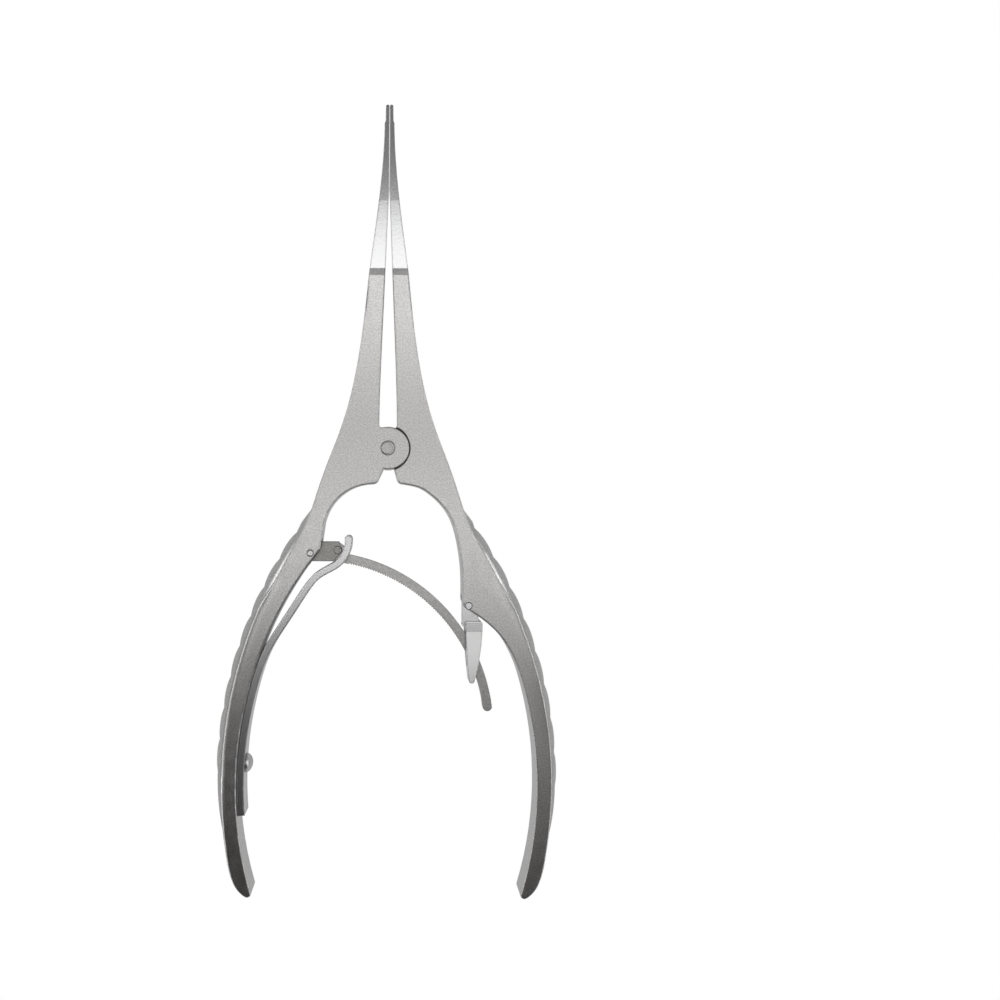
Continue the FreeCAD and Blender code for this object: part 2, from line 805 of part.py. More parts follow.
# Ratchet head: a block with a round back on the pin and a blunt nose past the rivet.
ratchet_head = new_body("ratchet_head")
head_top = head_pin_y + head_back_radius
head_bottom = head_pin_y - head_low
head_tail = (-head_pin_x - math.sqrt(head_back_radius ** 2 - head_low ** 2), head_bottom)
nose = [
    (rivet_x - nose_foot, head_bottom),
    (rivet_x - nose_low_back, rivet_y - nose_low_drop),
    (rivet_x + nose_side, rivet_y - nose_side_drop),
    (rivet_x + nose_reach, rivet_y + nose_reach_rise),
    (rivet_x + nose_top, head_top),
]
head_plan = [
    arc((-head_pin_x, head_top), (-head_pin_x - head_back_radius, head_pin_y), head_tail),
    line(head_tail, nose[0]),
]
head_plan += [line(a, b) for a, b in zip(nose, nose[1:])]
head_plan.append(line(nose[-1], (-head_pin_x, head_top)))
head_sketch = sketch(ratchet_head, "ratchet_head_plan", head_plan, "block_floor")
pad(ratchet_head, "ratchet_head_block", head_sketch, "block_depth")


def fork_box(start_x):
    """A plan box past the rivet, open towards the bar, for a fork cut in depth."""
    end_x = fork_past_pin - head_pin_x
    top = head_pin_y + fork_above
    bottom = head_pin_y - fork_below
    return polygon([(start_x, bottom), (end_x, bottom), (end_x, top), (start_x, top)])


head_fork_box = fork_box(fork_from_pin - head_pin_x)
head_fork = sketch(ratchet_head, "ratchet_head_fork_plan", head_fork_box, "bar_slot_floor")
cut_up(ratchet_head, "ratchet_head_fork", head_fork, "bar_slot_width")
bore(ratchet_head, "ratchet_head_pin_bore", -head_pin_x, head_pin_y, "head_bore_radius", head_bore_radius)
bore(ratchet_head, "ratchet_head_rivet_bore", rivet_x, rivet_y, "rivet_bore_radius", rivet_bore_radius)

# Ratchet bar: an arc through its root and through the lever, with an eye at the root and saw
# teeth all along its hollow edge. Its centre follows from the two points and the radius.
ratchet_bar = new_body("ratchet_bar")
bar_root = vec(bar_root_x, bar_root_y)
bar_pass = vec(bar_pass_x, bar_pass_y)
bar_chord = bar_pass - bar_root
bar_half = bar_chord.Length / 2
bar_side = vec(bar_chord.y, -bar_chord.x).normalize()
bar_centre = (bar_root + bar_pass) / 2 + bar_side * math.sqrt(bar_radius ** 2 - bar_half ** 2)
bar_x, bar_y = bar_centre.x, bar_centre.y
bar_start_angle = math.degrees(math.atan2(bar_root_y - bar_y, bar_root_x - bar_x))
bar_pass_angle = math.degrees(math.atan2(bar_pass_y - bar_y, bar_pass_x - bar_x))
bar_end_angle = bar_pass_angle - math.degrees(bar_tail / bar_radius)
bar_in = bar_radius - bar_width / 2
bar_out = bar_radius + bar_width / 2
bar_mid_angle = (bar_start_angle + bar_end_angle) / 2
cap_angle = bar_end_angle - math.degrees(bar_width / 2 / bar_radius)


def on_bar(radius, degrees):
    """A point about the bar's centre."""
    return polar(bar_x, bar_y, radius, degrees)


def bar_arc(radius, first, last):
    return arc(on_bar(radius, first), on_bar(radius, (first + last) / 2), on_bar(radius, last))


band = [
    bar_arc(bar_in, bar_start_angle, bar_end_angle),
    arc(on_bar(bar_in, bar_end_angle), on_bar(bar_radius, cap_angle), on_bar(bar_out, bar_end_angle)),
    bar_arc(bar_out, bar_end_angle, bar_start_angle),
    line(on_bar(bar_out, bar_start_angle), on_bar(bar_in, bar_start_angle)),
]
pad(ratchet_bar, "ratchet_bar_band", sketch(ratchet_bar, "ratchet_bar_plan", band, "bar_floor"), "bar_depth")
eye = sketch(ratchet_bar, "ratchet_bar_eye_circle", [circle(rivet_x, rivet_y, bar_eye_radius)], "bar_floor")
pad(ratchet_bar, "ratchet_bar_eye", eye, "bar_depth")
bore(ratchet_bar, "ratchet_bar_rivet_bore", rivet_x, rivet_y, "rivet_bore_radius", rivet_bore_radius)
tooth_pitch = math.degrees(tooth_step / bar_in)
tooth_first = bar_end_angle + math.degrees(tooth_margin / bar_in)
tooth_span = cell("tooth_span", (tooth_count - 1) * tooth_pitch)
tooth_base = bar_in - tooth_over
tooth_plan = polygon([
    polar(0, 0, tooth_base, tooth_first - tooth_flank * tooth_pitch),
    polar(0, 0, tooth_base, tooth_first + tooth_flank * tooth_pitch),
    polar(0, 0, bar_in + tooth_depth, tooth_first + tooth_lean * tooth_pitch),
])
gash = sketch(ratchet_bar, "ratchet_bar_gash_plan", tooth_plan, "below_rest")
cell("bar_centre_x", bar_x)
cell("bar_centre_y", bar_y)
gash.setExpression("AttachmentOffset.Base.x", "sizes.bar_centre_x")
gash.setExpression("AttachmentOffset.Base.y", "sizes.bar_centre_y")
doc.recompute()
first_gash = cut_up(ratchet_bar, "ratchet_bar_gash", gash, "through_depth")
teeth = ratchet_bar.newObject("PartDesign::PolarPattern", "ratchet_bar_teeth")
teeth.Originals = [first_gash]
teeth.Axis = (gash, ["N_Axis"])
teeth.setExpression("Occurrences", "sizes.tooth_count")
teeth.setExpression("Angle", "sizes.tooth_span")
ratchet_bar.Tip = teeth
doc.recompute()

# Leaf spring: along the handle's inner face, then away from it to the forked hook.
leaf_spring = new_body("leaf_spring")


def leaf_on_handle(y):
    """The leaf's middle line where it lies on the handle."""
    reach = inner_radius - leaf_gap - leaf_thickness / 2
    return (inner_centre_x - math.sqrt(reach ** 2 - (y - inner_centre_y) ** 2), y)


def leaf_off_handle(y, off):
    """The leaf's middle line at a height y, where it has parted from the handle."""
    return (off - inner_x(y), y)


# The hook's middle line, as steps from the rivet.
hook = [(-5.1, -6.85), (-2.7, -5.5), (-0.1, -3.95), (1.8, -2.05), (2.7, -0.15), (3.05, 1.65), (3.15, 3.65)]
seat_step = (leaf_seat_y - leaf_end_y) / (leaf_seat_points - 1)
leaf_way = [leaf_on_handle(leaf_end_y + seat_step * number) for number in range(leaf_seat_points)]
leaf_way += [
    leaf_off_handle(leaf_lift_y, leaf_lift),
    leaf_off_handle(leaf_part_y, leaf_part),
    leaf_off_handle(leaf_clear_y, leaf_clear),
    leaf_off_handle(leaf_waist_y, leaf_waist),
]
leaf_way += [(rivet_x + dx, rivet_y + dy) for dx, dy in hook]
leaf_line = spline(leaf_way)


def leaf_side(offset):
    """One face of the strip: the middle line moved sideways, from its end to its hook."""
    spots = []
    for number in range(leaf_stations + 1):
        share = number / leaf_stations
        here = leaf_line.FirstParameter * (1 - share) + leaf_line.LastParameter * share
        point = leaf_line.value(here)
        along = leaf_line.tangent(here)[0]
        spots.append((point.x - along.y * offset, point.y + along.x * offset))
    return spots


near = leaf_side(-leaf_thickness / 2)
far = leaf_side(leaf_thickness / 2)
leaf_top = leaf_line.value(leaf_line.LastParameter) + vec(0, leaf_thickness * hook_cap)
leaf_plan = [
    spline(near),
    arc(near[-1], (leaf_top.x, leaf_top.y), far[-1]),
    spline(list(reversed(far))),
    line(far[0], near[0]),
]
leaf_sketch = sketch(leaf_spring, "leaf_spring_plan", leaf_plan, "leaf_floor")
pad(leaf_spring, "leaf_spring_strip", leaf_sketch, "leaf_width")
fork = sketch(leaf_spring, "leaf_spring_fork_plan", fork_box(rivet_x - fork_start), "fork_floor")
cut_up(leaf_spring, "leaf_spring_fork", fork, "fork_width")
leaf_hole = leaf_spring.newObject("Sketcher::SketchObject", "leaf_spring_screw_circle")
leaf_hole.AttachmentSupport = [(base_plane(leaf_spring, "YZ_Plane"), "")]
leaf_hole.MapMode = "FlatFace"
leaf_hole.AttachmentOffset = FreeCAD.Placement(
    FreeCAD.Vector(hole_start.y, hole_start.z, hole_start.x),
    FreeCAD.Rotation(FreeCAD.Vector(0, 1, 0), -screw_turn) * FreeCAD.Rotation(),
)
leaf_hole.addGeometry([circle(0, 0, screw_shank_radius + screw_hole_play)], False)
doc.recompute()
cut_up(leaf_spring, "leaf_spring_screw_hole", leaf_hole, "screw_hole_length")

# Spring screw: a domed, slotted button head on its shank.
spring_screw = new_body("spring_screw")
shank_length = leaf_thickness + leaf_gap + head_seat_gap + screw_depth
bevel_end = (screw_shank_radius, screw_tip_bevel - shank_length)
dome_mid = (screw_head_radius * screw_dome_out, screw_rim + (screw_head_height - screw_rim) * screw_dome_up)
section = spring_screw.newObject("Sketcher::SketchObject", "spring_screw_section")
section.AttachmentSupport = [(base_plane(spring_screw, "XZ_Plane"), "")]
section.MapMode = "FlatFace"
section.addGeometry([
    line((0, -shank_length), (screw_shank_radius - screw_tip_bevel, -shank_length)),
    line((screw_shank_radius - screw_tip_bevel, -shank_length), bevel_end),
    line(bevel_end, (screw_shank_radius, 0)),
    line((screw_shank_radius, 0), (screw_head_radius, 0)),
    line((screw_head_radius, 0), (screw_head_radius, screw_rim)),
    arc((screw_head_radius, screw_rim), dome_mid, (0, screw_head_height)),
    line((0, screw_head_height), (0, -shank_length)),
], False)
doc.recompute()
turned = spring_screw.newObject("PartDesign::Revolution", "spring_screw_turned")
turned.Profile = section
turned.ReferenceAxis = (section, ["V_Axis"])
turned.setExpression("Angle", "sizes.full_turn")
doc.recompute()
driver = sketch(
    spring_screw,
    "spring_screw_slot_plan",
    polygon([
        (-screw_slot_width / 2, -screw_head_radius - cut_over),
        (screw_slot_width / 2, -screw_head_radius - cut_over),
        (screw_slot_width / 2, screw_head_radius + cut_over),
        (-screw_slot_width / 2, screw_head_radius + cut_over),
    ]),
    "screw_slot_floor",
)
cut_up(spring_screw, "spring_screw_slot", driver, "screw_head_height")
screw_seat = screw_foot + screw_heading * (leaf_gap + leaf_thickness + head_seat_gap)
upright = FreeCAD.Vector(0, 0, 1)
spring_screw.Placement = FreeCAD.Placement(screw_seat, FreeCAD.Rotation(upright, screw_heading))

# Release lever: a wide pad below, a tongue in the arm's slot above, a window for the bar.
release_lever = new_body("release_lever")
tip_right = (pad_tip_x + pad_tip_radius, pad_tip_y)
tip_left = (pad_tip_x - pad_tip_radius, pad_tip_y)
pad_plan = [
    line((pad_left_x, pad_top_y), (pad_right_x - pad_corner, pad_top_y)),
    line((pad_right_x - pad_corner, pad_top_y), (pad_right_x, pad_top_y - pad_corner)),
    spline([(pad_right_x, pad_top_y - pad_corner), (pad_waist_right, pad_waist_y), tip_right]),
    arc(tip_right, (pad_tip_x, pad_tip_y - pad_tip_radius), tip_left),
    spline([tip_left, (pad_waist_left, pad_waist_y), (pad_left_x, pad_top_y)]),
]
pad_sketch = sketch(release_lever, "release_lever_pad_plan", pad_plan, "pad_floor")
pad(release_lever, "release_lever_pad", pad_sketch, "pad_depth")
pad_front = pad_recess + pad_depth
pad_foot_y = pad_tip_y - 2 * pad_tip_radius
front_slope = [
    (pad_taper_y, pad_front),
    (pad_foot_y, pad_front - pad_front_drop),
    (pad_foot_y, arm_depth + cut_over),
    (pad_taper_y, arm_depth + cut_over),
]
back_slope = [
    (pad_back_taper_y, pad_recess),
    (pad_foot_y, pad_recess + pad_back_rise),
    (pad_foot_y, -cut_over),
    (pad_back_taper_y, -cut_over),
]
for tag, shape in (("front", front_slope), ("back", back_slope)):
    drawn = sketch(release_lever, "release_lever_" + tag + "_plan", polygon(shape), "cut_over", "YZ_Plane")
    cut_up(release_lever, "release_lever_" + tag, drawn, "jaw_cut_width")
tongue = [
    (tongue_left_x, pad_top_y - tongue_overlap),
    (tongue_right_x, pad_top_y - tongue_overlap),
    (tongue_right_x, tongue_top_y - tongue_corner),
    (tongue_right_x - tongue_corner, tongue_top_y),
    (tongue_left_x + tongue_corner, tongue_top_y),
    (tongue_left_x, tongue_top_y - tongue_corner),
]
tongue_sketch = sketch(release_lever, "release_lever_tongue_plan", polygon(tongue), "block_floor")
pad(release_lever, "release_lever_tongue", tongue_sketch, "block_depth")

# The window follows the bar's arc: it opens outwards so that the lever can swing clear, and lies
# close below the bar past the pawl's edge.
window_start = on_bar(bar_out + window_over, window_high_angle)
window_mid = on_bar(bar_out + window_mid_over, window_mid_angle)
window_wide = bar_out + window_wide_over
window_deep = bar_in - window_under
window_close = bar_in - window_near
pawl = on_bar(bar_in - pawl_gap, pawl_angle)
window = [
    arc(window_start, window_mid, on_bar(window_wide, window_wide_angle)),
    bar_arc(window_wide, window_wide_angle, window_low_angle),
    line(on_bar(window_wide, window_low_angle), on_bar(window_close, window_low_angle)),
    bar_arc(window_close, window_low_angle, pawl_back_angle),
    line(on_bar(window_close, pawl_back_angle), pawl),
    line(pawl, on_bar(window_deep, pawl_flank_angle)),
    bar_arc(window_deep, pawl_flank_angle, window_high_angle),
    line(on_bar(window_deep, window_high_angle), window_start),
]
window_sketch = sketch(release_lever, "release_lever_window_plan", window, "window_floor")
cut_up(release_lever, "release_lever_window", window_sketch, "window_width")
bore(release_lever, "release_lever_bore", lever_pin_x, lever_pin_y, "lever_bore_radius", lever_bore_radius)

# Lever spring: a small hairpin in the arm's slot, beside the tongue.
lever_spring = new_body("lever_spring")
hair_out = lever_slot_right - hairpin_wall_gap
hair_in = tongue_right_x + hairpin_gap
hair_mid = (hair_out + hair_in) / 2
hair_outer_radius = (hair_out - hair_in) / 2
hair_inner_radius = hair_outer_radius - hairpin_thickness
hair_y = lever_slot_top - hairpin_wall_gap - hair_outer_radius
leg_in = hair_in + hairpin_thickness
leg_out = hair_out - hairpin_thickness
hairpin = [
    line((hair_out, hairpin_long_y), (hair_out, hair_y)),
    arc((hair_out, hair_y), (hair_mid, hair_y + hair_outer_radius), (hair_in, hair_y)),
    line((hair_in, hair_y), (hair_in, hairpin_short_y)),
    line((hair_in, hairpin_short_y), (leg_in, hairpin_short_y)),
    line((leg_in, hairpin_short_y), (leg_in, hair_y)),
    arc((leg_in, hair_y), (hair_mid, hair_y + hair_inner_radius), (leg_out, hair_y)),
    line((leg_out, hair_y), (leg_out, hairpin_long_y)),
    line((leg_out, hairpin_long_y), (hair_out, hairpin_long_y)),
]
hairpin_sketch = sketch(lever_spring, "lever_spring_plan", hairpin, "hairpin_floor")
pad(lever_spring, "lever_spring_strip", hairpin_sketch, "hairpin_depth")

doc.recompute()
pieces = [
    left_arm,
    right_arm,
    pivot_pin,
    ratchet_head,
    ratchet_bar,
    bar_rivet,
    head_pin,
    leaf_spring,
    spring_screw,
    release_lever,
    lever_pin,
    lever_spring,
]
for made in doc.Objects:
    if "Invalid" in made.State or "Error" in made.State:
        raise ValueError(made.Name + " is " + ", ".join(made.State))
for piece in pieces:
    if piece.Shape.isNull() or not piece.Shape.isValid():
        raise ValueError(piece.Label + " has no valid shape")
    if len(piece.Shape.Solids) != 1:
        raise ValueError(piece.Label + " isn't one solid")

os.makedirs("parts", exist_ok=True)
for piece in pieces:
    piece.Shape.exportStep("parts/" + piece.Label + ".step")
    print(piece.Label, round(piece.Shape.Volume, 1))
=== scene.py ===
# %% [markdown]
# # A bone spreader lying on a pale table
# The instrument comes in as a fixed frame, in metres: +Y points at the jaw tips, +Z is up, and the
# back rests on Z = 0. Its arms, pins and ratchet could be modelled again here, but the frame
# already has their real shapes, sizes and joints. So this lesson dresses them in blasted and
# polished steel, rebuilds the two springs as pieces of their own, and adds a table, lamps and a
# camera.

# %% Bring in the frame
import math

import bmesh
import bpy
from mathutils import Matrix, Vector


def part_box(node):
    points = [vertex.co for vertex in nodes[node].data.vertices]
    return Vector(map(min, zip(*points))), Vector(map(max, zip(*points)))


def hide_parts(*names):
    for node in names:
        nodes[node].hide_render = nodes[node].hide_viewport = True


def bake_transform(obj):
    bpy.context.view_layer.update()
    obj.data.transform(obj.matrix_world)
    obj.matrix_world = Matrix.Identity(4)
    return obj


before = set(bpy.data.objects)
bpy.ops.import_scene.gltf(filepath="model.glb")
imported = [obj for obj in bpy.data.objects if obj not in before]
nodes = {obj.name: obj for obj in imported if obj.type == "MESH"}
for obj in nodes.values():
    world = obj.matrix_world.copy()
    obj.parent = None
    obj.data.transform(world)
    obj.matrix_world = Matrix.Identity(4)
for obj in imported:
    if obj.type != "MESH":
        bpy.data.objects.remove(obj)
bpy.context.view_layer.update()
scene = bpy.context.scene
MM = 0.001
FACE = 10 * MM  # the front face of the arms stands this high over the table

# %% [markdown]
# ## Helpers for node trees
# Every finish below is a tree of nodes. Each link could be written out, but most nodes differ only
# in their kind and in what goes into them. One helper makes a node and feeds its inputs, either
# with plain values or with the outputs of other nodes, so a tree reads from top to bottom.

# %% Node helpers


def feed(tree, socket, value):
    """Give a socket a plain value or another node's output."""
    if isinstance(value, bpy.types.NodeSocket):
        tree.links.new(value, socket)
    else:
        socket.default_value = value


def add_node(tree, kind, inputs=(), **settings):
    """A new node with its settings, and something in each input that is named."""
    node = tree.nodes.new(kind)
    for name, value in settings.items():
        setattr(node, name, value)
    for key, value in dict(inputs).items():
        feed(tree, node.inputs[key], value)
    return node


def new_material(name, inputs=()):
    """A material with its tree, its shader and its output; inputs go into the shader."""
    material = bpy.data.materials.new(name)
    material.use_nodes = True
    tree = material.node_tree
    shader = tree.nodes["Principled BSDF"]
    for key, value in dict(inputs).items():
        feed(tree, shader.inputs[key], value)
    return material, tree, shader, tree.nodes["Material Output"]


def pick_shader(tree, ray, usual, special):
    """The special shader for one kind of ray and the usual one for all others."""
    rays = add_node(tree, "ShaderNodeLightPath")
    picked = add_node(
        tree, "ShaderNodeMixShader", {"Fac": rays.outputs[ray], 1: usual, 2: special}
    )
    return picked.outputs["Shader"]


print("helpers: feed, add_node, new_material, pick_shader")

# %% [markdown]
# ## The table
# The instrument lies on a seamless white ground. More light would make any table white, and would
# burn out the steel with it. So the table is mat paper that looks white to the camera alone, and a
# little darker to a mirror: its glow is what the side walls of the arms reflect. It lies a fifth of
# a millimetre low, so that it and the back faces never fight for the same place.

# %% Table
WHITE = (1.0, 1.0, 1.0, 1.0)
TABLE_REACH = 2.0
TABLE_DROP = 0.2 * MM
GLOW_IN_CAMERA = 1.0
GLOW_IN_MIRROR = 0.62


def panel(name, corners, material):
    """A flat stage panel through its corners, in one material."""
    mesh = bpy.data.meshes.new(name)
    mesh.from_pydata(corners, [], [tuple(range(len(corners)))])
    mesh.materials.append(material)
    made = bpy.data.objects.new(name, mesh)
    scene.collection.objects.link(made)
    return made


def glow(tree, strength):
    """A white emission of one strength."""
    node = add_node(tree, "ShaderNodeEmission", {"Color": WHITE, "Strength": strength})
    return node.outputs["Emission"]


paper, tree, shader, output = new_material(
    "white_paper", {"Base Color": (0.8, 0.8, 0.8, 1.0), "Roughness": 0.9}
)
mirrored = pick_shader(
    tree, "Is Glossy Ray", shader.outputs["BSDF"], glow(tree, GLOW_IN_MIRROR)
)
seen = pick_shader(tree, "Is Camera Ray", mirrored, glow(tree, GLOW_IN_CAMERA))
feed(tree, output.inputs["Surface"], seen)
CORNERS = ((-1, -1), (1, -1), (1, 1), (-1, 1))
table = panel(
    "table", [(x * TABLE_REACH, y * TABLE_REACH, -TABLE_DROP) for x, y in CORNERS], paper
)
print("table:", [round(side, 2) for side in table.dimensions])

# %% [markdown]
# ## The room
# Bare steel shows whatever stands round it. A picture of a room would do, and so does an even grey:
# it fills the shadows at the height where the arms' side walls look. The camera gets white instead,
# which carries the table's white up to the horizon when the view is low.

# %% Room
ROOM_GREY = (0.42, 0.42, 0.43, 1.0)
world = bpy.data.worlds.new("room")
scene.world = world
world.use_nodes = True
tree = world.node_tree
room = tree.nodes["Background"]
feed(tree, room.inputs["Color"], ROOM_GREY)
backdrop = add_node(tree, "ShaderNodeBackground", {"Color": WHITE})
walls = pick_shader(
    tree, "Is Camera Ray", room.outputs["Background"], backdrop.outputs["Background"]
)
feed(tree, tree.nodes["World Output"].inputs["Surface"], walls)
print("room:", ROOM_GREY[:3])

# %% [markdown]
# ## The lamps
# Seen from straight above, each spot of a flat arm mirrors a spot of the ceiling that lies almost
# four times as far from the middle. One big soft box would make all the steel one grey. The real
# instrument goes from white at the jaws to dark at the handle ends, so the ceiling is cut into
# panes across the instrument, each with its own brightness. A soft box is given by its brightness
# and its size, and its power follows from them, so a pane can be widened without changing what
# the steel shows.

# %% Panes over the instrument
CEILING = 0.80
PANE_WIDTH = 1.0
PANES = [  # name, near end and far end along Y, brightness
    ("pane_behind_tips", 0.34, 0.87, 0.30),
    ("pane_beaks", 0.292, 0.34, 0.95),
    ("pane_jaws", 0.14, 0.292, 2.30),
    ("pane_knuckle", 0.00, 0.14, 0.05),
    ("pane_flanks", -0.095, 0.00, 2.50),
    ("pane_hips", -0.14, -0.095, 0.40),
]
LEVER_PANE = (0.09, -0.252)  # the pad of the release lever leans, and mirrors this spot


def soft_box(name, place, target, size, brightness):
    """A rectangular area light that looks at a target."""
    lamp = bpy.data.lights.new(name, "AREA")
    lamp.shape = "RECTANGLE"
    lamp.size, lamp.size_y = size
    lamp.energy = brightness * math.pi * size[0] * size[1]
    made = bpy.data.objects.new(name, lamp)
    made.location = place
    look = Vector(target) - Vector(place)
    made.rotation_euler = look.to_track_quat("-Z", "Y").to_euler()
    scene.collection.objects.link(made)


for name, near, far, brightness in PANES:
    middle = (near + far) / 2
    size = (PANE_WIDTH, far - near)
    soft_box(name, (0.0, middle, CEILING), (0.0, middle, 0.0), size, brightness)
soft_box("pane_lever", (*LEVER_PANE, CEILING), (*LEVER_PANE, 0.0), (0.08, 0.09), 2.1)
print("panes:", [name for name, *_ in PANES])

# %% [markdown]
# ## The strips and the dark flag
# Two long strips at the sides light the rounded edges and the waves of the grips, which is where
# the real handles carry their thin highlights. A weak strip behind the tips fills the step where
# the jaws begin. Area lights let the room shine through between and behind them, so a sheet of
# black felt hangs just over the panes: what lies outside every pane is then really dark.

# %% Strips and flag
STRIP_OUT, STRIP_ALONG, STRIP_UP = 0.75, -0.1, 0.42
FELT = (0.020, 0.014, 0.013, 1.0)
FLAG_GAP = 0.02
FLAG = ((-1.0, -1.3), (1.0, -1.3), (1.0, 1.2), (-1.0, 1.2))

for side, label in ((-1, "left"), (1, "right")):
    place = (side * STRIP_OUT, STRIP_ALONG, STRIP_UP)
    soft_box(label + "_strip", place, (0.0, STRIP_ALONG, 0.0), (1.2, 0.26), 2.6)
soft_box("far_strip", (0.0, 0.9, 0.22), (0.0, 0.05, 0.0), (0.9, 0.25), 0.50)
felt, *_ = new_material(
    "black_felt", {"Base Color": FELT, "Roughness": 1.0, "Specular IOR Level": 0.0}
)
flag = panel("dark_flag", [(x, y, CEILING + FLAG_GAP) for x, y in FLAG], felt)

# %% [markdown]
# ## Building blocks for the steel
# The arms, pins, springs and lever are all steel, and share the same few effects: grain, painted
# shade in the seams, and rounded edges with a painted dark rim. Each effect becomes a node group
# with named inputs, so that every finish can set its own amounts. A group hands out only values
# and normals, and the shader itself stays in the material. The helpers here name the sums that
# the groups use most.

# %% Group helpers
FLOAT, VECTOR, GEOMETRY = "NodeSocketFloat", "NodeSocketVector", "NodeSocketGeometry"
NO_NORMAL = (0.0, 0.0, 0.0)
MIX_SOCKETS = {"FLOAT": (2, 3, 0), "RGBA": (6, 7, 2)}


def new_group(name, outputs, inputs=(), kind="ShaderNodeTree"):
    """An empty node group with named sockets, and its ends."""
    tree = bpy.data.node_groups.new(name, kind)
    for label, socket_type, value in inputs:
        socket = tree.interface.new_socket(label, in_out="INPUT", socket_type=socket_type)
        if value is not None:
            socket.default_value = value
    for label, socket_type in outputs:
        tree.interface.new_socket(label, in_out="OUTPUT", socket_type=socket_type)
    return tree, tree.nodes.new("NodeGroupInput"), tree.nodes.new("NodeGroupOutput")


def calc(tree, operation, a, b=None):
    """One sum on values or outputs."""
    inputs = {0: a} if b is None else {0: a, 1: b}
    return add_node(tree, "ShaderNodeMath", inputs, operation=operation).outputs[0]


def ramp(tree, value, low, high, first=0.0, last=1.0):
    """A value brought from low..high to first..last, and held at the ends."""
    inputs = {"Value": value, "From Min": low, "From Max": high, "To Min": first, "To Max": last}
    return add_node(tree, "ShaderNodeMapRange", inputs).outputs["Result"]


def mix(tree, factor, first, second, kind="FLOAT", way="MIX"):
    """Two values mixed by a factor; the node has a set of sockets for each kind of value."""
    a, b, result = MIX_SOCKETS[kind]
    inputs = {0: factor, a: first, b: second}
    return add_node(tree, "ShaderNodeMix", inputs, data_type=kind, blend_type=way).outputs[result]


def object_place(tree):
    """The X, Y and Z of a point in the piece's own coordinates, which here are the frame's."""
    point = add_node(tree, "ShaderNodeTexCoord").outputs["Object"]
    return add_node(tree, "ShaderNodeSeparateXYZ", {"Vector": point}).outputs


print("helpers: new_group, calc, ramp, mix, object_place")

# %% [markdown]
# ## Blasted grain
# The arms are blasted with fine beads, so that theatre lamps don't glare off them. Close up that is
# a dense grain of tiny dents, each lit a little differently. Real dents in the mesh would take
# millions of faces. Noise under half a millimetre across gives the same look: it tints the colour,
# raises a very low bump, and a coarser noise lets the roughness drift from place to place.

# %% Grain
BLASTED, into, out = new_group(
    "blasted_grain",
    [("Roughness", FLOAT), ("Tint", FLOAT), ("Normal", VECTOR)],
    [
        ("Grain", FLOAT, 2300.0),
        ("Roughness", FLOAT, 0.36),
        ("Relief", FLOAT, 0.22),
        ("Normal", VECTOR, NO_NORMAL),
    ],
)
given = into.outputs
point = add_node(BLASTED, "ShaderNodeTexCoord").outputs["Object"]
dents = add_node(
    BLASTED, "ShaderNodeTexNoise", {"Vector": point, "Scale": given["Grain"], "Detail": 2.0}
).outputs["Fac"]
DARK_DENT, BRIGHT_DENT, DARKEST_TINT = 0.36, 0.64, 0.72
tint = ramp(BLASTED, dents, DARK_DENT, BRIGHT_DENT, DARKEST_TINT)
feed(BLASTED, out.inputs["Tint"], tint)

# %% Grain: roughness and relief
CLOUD_SCALE, CLOUD_SWING = 420.0, 0.10
DENT_DEPTH = 0.03 * MM
cloud = add_node(
    BLASTED, "ShaderNodeTexNoise", {"Vector": point, "Scale": CLOUD_SCALE, "Detail": 3.0}
).outputs["Fac"]
swing = calc(BLASTED, "MULTIPLY", calc(BLASTED, "SUBTRACT", cloud, 0.5), CLOUD_SWING)
feed(BLASTED, out.inputs["Roughness"], calc(BLASTED, "ADD", given["Roughness"], swing))
relief = {
    "Strength": given["Relief"],
    "Distance": DENT_DEPTH,
    "Height": dents,
    "Normal": given["Normal"],
}
dented = add_node(BLASTED, "ShaderNodeBump", relief)
feed(BLASTED, out.inputs["Normal"], dented.outputs["Normal"])
print("grain:", len(BLASTED.nodes), "nodes")

# %% [markdown]
# ## Painted shade in the seams
# Where a pin sits in its bore or a disc in its recess, a real instrument shows a thin dark line,
# because hardly any light gets into the gap. In so narrow a gap, the render's own shadows leave
# that line faint. An ambient occlusion node measures how closed in each point is, and a ramp turns
# that into a mask that paints the missing shade into the colour there.

# %% Seams
CLOSED_IN, OPEN = 0.35, 0.85
PAINTED_SEAM_SHADE, into, out = new_group(
    "seam_shade",
    [("Shade", FLOAT)],
    [("Reach", FLOAT, 0.5 * MM), ("Darkest", FLOAT, 0.25)],
)
# Painted shade: the more closed in a point is, the darker its colour gets.
around = add_node(
    PAINTED_SEAM_SHADE, "ShaderNodeAmbientOcclusion", {"Distance": into.outputs["Reach"]}, samples=8
)
shade = ramp(PAINTED_SEAM_SHADE, around.outputs["AO"], CLOSED_IN, OPEN, into.outputs["Darkest"])
feed(PAINTED_SEAM_SHADE, out.inputs["Shade"], shade)
print("seams:", len(PAINTED_SEAM_SHADE.nodes), "nodes")

# %% [markdown]
# ## Rounded edges and painted rim shade
# No edge of the real instrument is sharp: tumbling rounds them all, and each then carries a
# highlight with a dark line beside it. A bevel in the mesh would do that on a simple plate, but not
# on the arms, whose edges run into waves and crowns. A Bevel node bends the shading normal near
# each edge instead, and leaves the frame's mesh alone. From that bent normal comes a second
# output, the rim shade: a painted dark line, which darkens the colour where a flat face turns
# over, and the face's true normal keeps it off the crowned grips.

# %% Edges
RIM_TILTED, RIM_LEVEL = 0.80, 0.91
FLAT_FROM, FLAT_TO = 0.90, 0.97


def upright(tree, normal):
    """How far a normal points straight up or down, from 0 to 1."""
    parts = add_node(tree, "ShaderNodeSeparateXYZ", {"Vector": normal})
    return calc(tree, "ABSOLUTE", parts.outputs["Z"])


